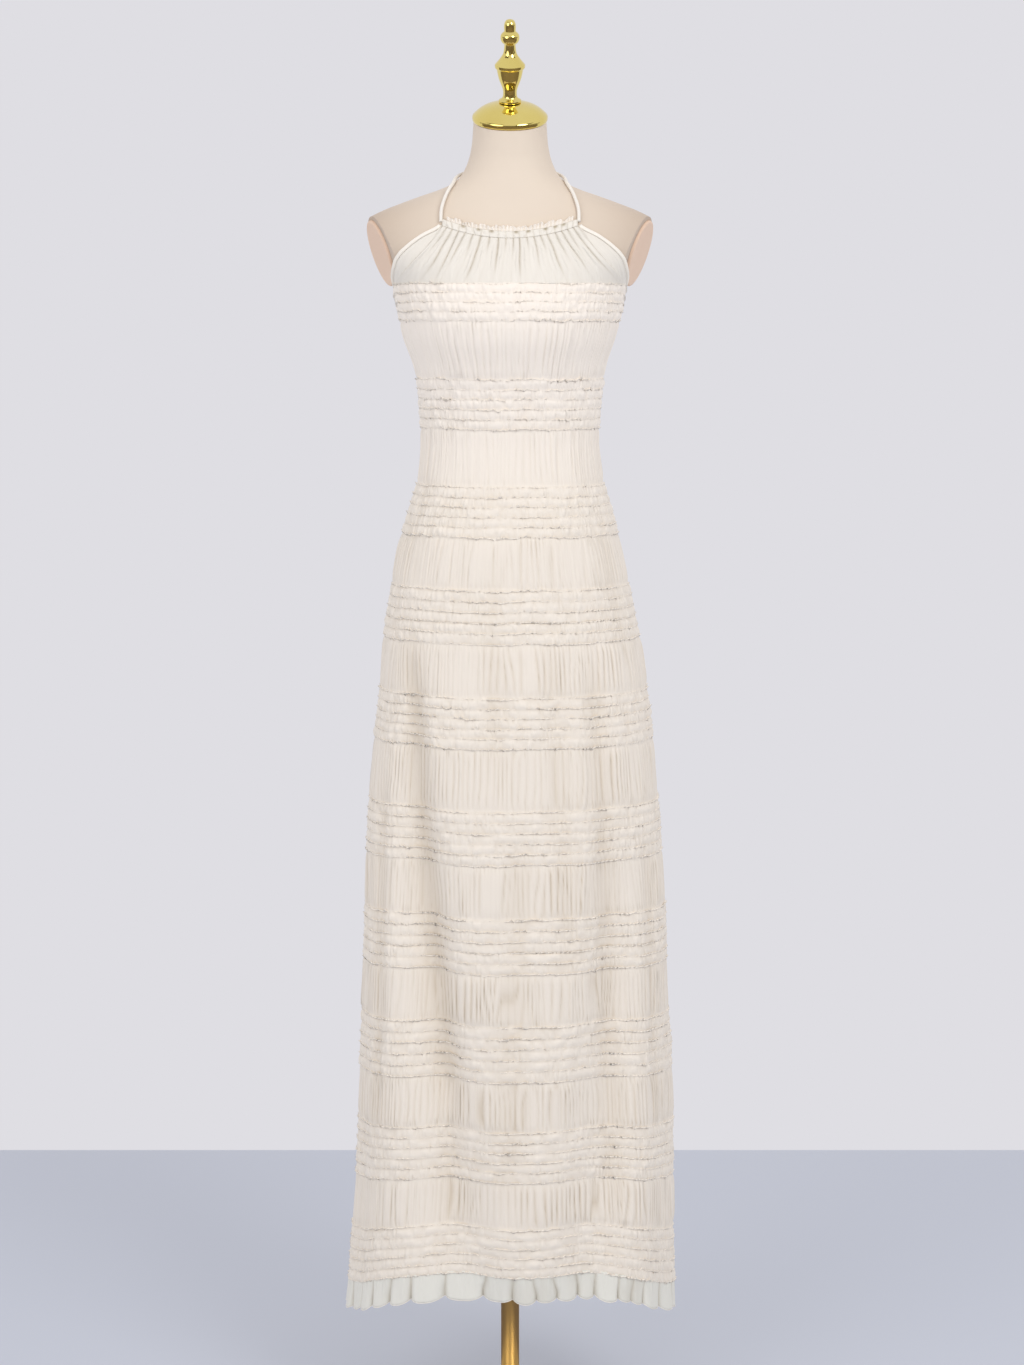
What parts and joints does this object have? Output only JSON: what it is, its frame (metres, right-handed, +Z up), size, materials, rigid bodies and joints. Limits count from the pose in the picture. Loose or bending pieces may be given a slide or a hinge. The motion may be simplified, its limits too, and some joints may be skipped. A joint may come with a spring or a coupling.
{
  "type": "halter dress on a dress form",
  "caption": "Long ivory halter dress with gathered bands of narrow frills, on a limbless dress form with a turned finial, a pole and a round base.",
  "frame": {"origin": "centre of the base's underside, on the floor", "axes": "+Z up along the pole, -Y towards the dress's front, +X towards the right of someone facing it"},
  "size_m": [0.458, 0.2896, 1.8886],
  "materials": {
    "dress_fabric": "matt",
    "dress_trim": "matt",
    "form_cover": "matt",
    "arm_cover": "matt",
    "polished_brass": "polished",
    "satin_brass": "satin"
  },
  "bodies": {
    "root": {"base_plate": "satin_brass", "pole": "satin_brass", "torso_form": "form_cover", "arm_plate_left": "arm_cover", "arm_plate_right": "arm_cover", "neck_cap": "polished_brass", "finial": "polished_brass", "front_body": "dress_fabric", "back_body": "dress_fabric", "hem_ruffle_front": "dress_fabric", "hem_ruffle_back": "dress_fabric", "front_yoke": "dress_fabric", "neck_casing": "dress_fabric", "neck_frill": "dress_trim", "edge_binding": "dress_trim", "halter_strap": "dress_trim"}
  },
  "joints": []
}
